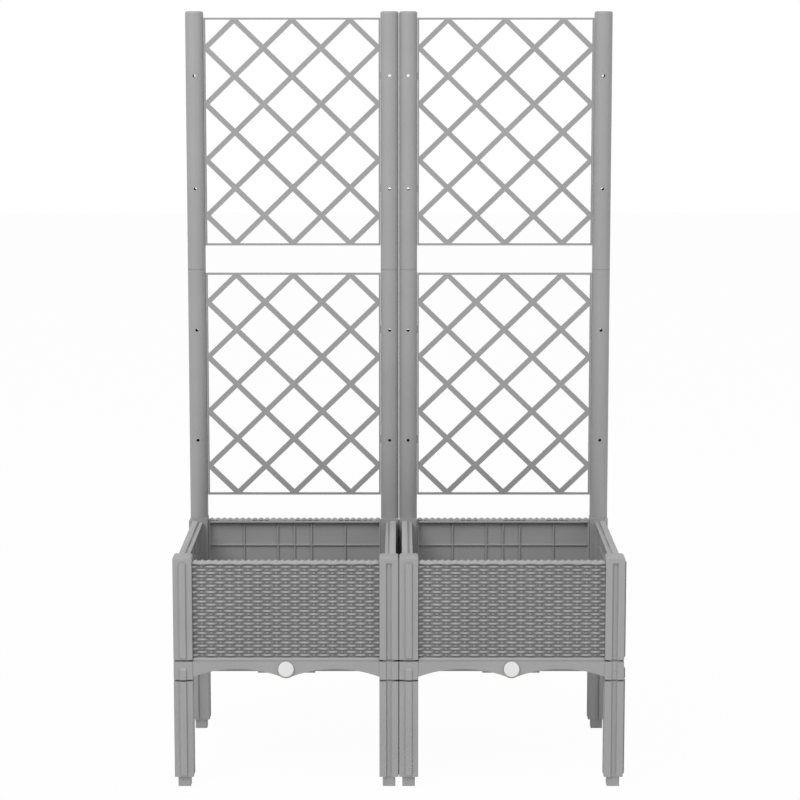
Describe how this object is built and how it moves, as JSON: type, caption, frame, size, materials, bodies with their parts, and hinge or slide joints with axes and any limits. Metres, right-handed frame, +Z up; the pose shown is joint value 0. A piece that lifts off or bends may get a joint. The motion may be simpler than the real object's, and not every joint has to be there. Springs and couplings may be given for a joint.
{
  "type": "modular planter with trellis",
  "caption": "Raised modular plastic planter with woven-look sides, drain plugs and a lattice trellis on round tubes behind it.",
  "frame": {"origin": "on the floor, in the middle of the whole width and depth", "axes": "+X to the right seen from the front, +Y to the rear where the trellis stands, +Z up"},
  "size_m": [0.805, 0.406, 1.3749],
  "materials": {
    "grey_plastic": "matt light grey polypropylene",
    "grey_woven_plastic": "matt light grey polypropylene with moulded wicker relief",
    "grey_tube_plastic": "matt light grey extruded tube",
    "grey_lattice_plastic": "matt light grey moulded lattice",
    "dark_plastic": "matt dark grey recycled plastic",
    "white_plastic": "matt white moulded plastic",
    "black_rubber": "soft black rubber"
  },
  "bodies": {
    "planter": {"left_tray": "grey_plastic", "left_leg_front_left": "grey_plastic", "left_post_front_left": "grey_plastic", "left_leg_front_right": "grey_plastic", "left_post_front_right": "grey_plastic", "left_leg_rear_right": "grey_plastic", "left_post_rear_right": "grey_plastic", "left_leg_rear_left": "grey_plastic", "left_post_rear_left": "grey_plastic", "left_panel_front": "grey_woven_plastic", "left_panel_right": "grey_woven_plastic", "left_panel_rear": "grey_woven_plastic", "left_panel_left": "grey_woven_plastic", "left_post_cap_left": "grey_plastic", "left_tube_lower_left": "grey_tube_plastic", "left_tube_upper_left": "grey_tube_plastic", "left_tube_cap_left": "grey_tube_plastic", "left_post_cap_right": "grey_plastic", "left_tube_lower_right": "grey_tube_plastic", "left_tube_upper_right": "grey_tube_plastic", "left_tube_cap_right": "grey_tube_plastic", "left_lattice_lower": "grey_lattice_plastic", "left_lattice_upper": "grey_lattice_plastic", "right_tray": "grey_plastic", "right_leg_front_left": "grey_plastic", "right_post_front_left": "grey_plastic", "right_leg_front_right": "grey_plastic", "right_post_front_right": "grey_plastic", "right_leg_rear_right": "grey_plastic", "right_post_rear_right": "grey_plastic", "right_leg_rear_left": "grey_plastic", "right_post_rear_left": "grey_plastic", "right_panel_front": "grey_woven_plastic", "right_panel_right": "grey_woven_plastic", "right_panel_rear": "grey_woven_plastic", "right_panel_left": "grey_woven_plastic", "right_post_cap_left": "grey_plastic", "right_tube_lower_left": "grey_tube_plastic", "right_tube_upper_left": "grey_tube_plastic", "right_tube_cap_left": "grey_tube_plastic", "right_post_cap_right": "grey_plastic", "right_tube_lower_right": "grey_tube_plastic", "right_tube_upper_right": "grey_tube_plastic", "right_tube_cap_right": "grey_tube_plastic", "right_lattice_lower": "grey_lattice_plastic", "right_lattice_upper": "grey_lattice_plastic"},
    "left_grid": {"left_soil_grid": "dark_plastic"},
    "left_plug": {"left_drain_plug": "white_plastic", "left_drain_washer": "black_rubber"},
    "right_grid": {"right_soil_grid": "dark_plastic"},
    "right_plug": {"right_drain_plug": "white_plastic", "right_drain_washer": "black_rubber"}
  },
  "joints": [
    {"name": "left_grid_lift", "type": "slide", "parent": "planter", "child": "left_grid", "axis": [0, 0, 1], "range_m": [0, 0.22]},
    {"name": "left_plug_pull", "type": "slide", "parent": "planter", "child": "left_plug", "axis": [0, -1, 0], "range_m": [0, 0.03]},
    {"name": "right_grid_lift", "type": "slide", "parent": "planter", "child": "right_grid", "axis": [0, 0, 1], "range_m": [0, 0.22]},
    {"name": "right_plug_pull", "type": "slide", "parent": "planter", "child": "right_plug", "axis": [0, -1, 0], "range_m": [0, 0.03]}
  ]
}
